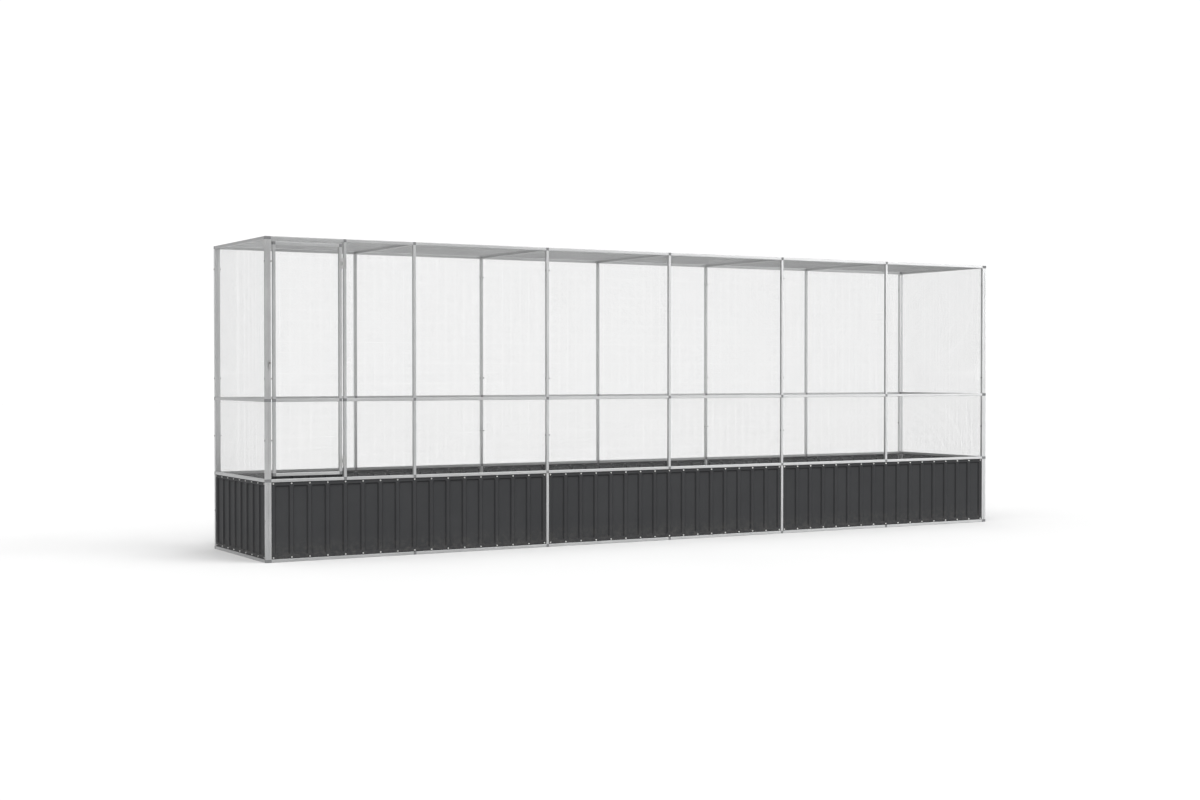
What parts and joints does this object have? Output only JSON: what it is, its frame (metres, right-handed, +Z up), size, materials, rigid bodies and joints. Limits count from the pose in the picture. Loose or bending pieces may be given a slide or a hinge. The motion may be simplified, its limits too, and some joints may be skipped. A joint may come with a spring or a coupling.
{
  "type": "aviary",
  "caption": "Long free-standing aviary of galvanised square tube on moulded connectors, with welded mesh walls and roof, pressed dark base sheets and a narrow mesh door with a turn button.",
  "frame": {"origin": "on the ground, at the middle of the overall length and depth", "axes": "+X along the length, to the right as seen from the front; the front with the door faces -Y; +Z up"},
  "size_m": [6.185, 1.073, 2.1118],
  "materials": {
    "tube_steel": "galvanised, satin, faint spangle",
    "mesh_wire": "galvanised wire, spot-welded",
    "sheet_paint": "anthracite coil coating, satin",
    "connector_moulding": "moulded, matt, dark grey",
    "angle_steel": "anthracite paint like the sheets, satin",
    "fastener_zinc": "zinc plated, satin",
    "hinge_steel": "zinc plated, satin"
  },
  "bodies": {
    "frame": {"back_base_posts": "tube_steel", "back_base_sheet_left": "sheet_paint", "back_base_sheet_middle": "sheet_paint", "back_base_sheet_right": "sheet_paint", "back_base_top_rails": "tube_steel", "back_bottom_rails": "tube_steel", "back_lower_posts": "tube_steel", "back_mesh": "mesh_wire", "back_mid_rails": "tube_steel", "back_sheet_angles": "angle_steel", "back_sheet_screws": "fastener_zinc", "back_top_rails": "tube_steel", "back_tube_connectors": "connector_moulding", "back_upper_posts": "tube_steel", "bolt_nuts": "fastener_zinc", "corner_bolts": "fastener_zinc", "door_post": "tube_steel", "end_sheet_angles": "angle_steel", "end_sheet_screws": "fastener_zinc", "front_base_posts": "tube_steel", "front_base_sheet_left": "sheet_paint", "front_base_sheet_middle": "sheet_paint", "front_base_sheet_right": "sheet_paint", "front_base_top_rails": "tube_steel", "front_bottom_rails": "tube_steel", "front_lower_posts": "tube_steel", "front_mesh": "mesh_wire", "front_mid_rails": "tube_steel", "front_sheet_angles": "angle_steel", "front_sheet_screws": "fastener_zinc", "front_top_rails": "tube_steel", "front_tube_connectors": "connector_moulding", "front_upper_posts": "tube_steel", "hinge_frame_leaves": "hinge_steel", "hinge_frame_rivets": "fastener_zinc", "hinge_pins": "hinge_steel", "joint_bolts": "fastener_zinc", "latch_pivot_bolt": "fastener_zinc", "latch_pivot_nut": "fastener_zinc", "latch_spacer_washer": "fastener_zinc", "left_end_base_sheet": "sheet_paint", "left_end_mesh": "mesh_wire", "left_end_rails": "tube_steel", "left_end_stiles": "tube_steel", "left_end_tube_connectors": "connector_moulding", "right_end_base_sheet": "sheet_paint", "right_end_mesh": "mesh_wire", "right_end_rails": "tube_steel", "right_end_stiles": "tube_steel", "right_end_tube_connectors": "connector_moulding", "roof_cross_bars": "tube_steel", "roof_mesh": "mesh_wire"},
    "door": {"door_stiles": "tube_steel", "door_rails": "tube_steel", "door_tube_connectors": "connector_moulding", "door_mesh": "mesh_wire", "hinge_door_leaves": "hinge_steel", "hinge_door_rivets": "fastener_zinc"},
    "latch": {"latch_turn_button": "hinge_steel"}
  },
  "joints": [
    {"name": "door_swing", "type": "hinge", "parent": "frame", "child": "door", "pos_m": [-2.556, -0.532, 1.295], "axis": [0, 0, 1], "range_deg": [0, 170]},
    {"name": "latch_turn", "type": "hinge", "parent": "frame", "child": "latch", "pos_m": [-3.06, -0.5307, 1.292], "axis": [0, -1, 0], "range_deg": [0, 90]}
  ]
}
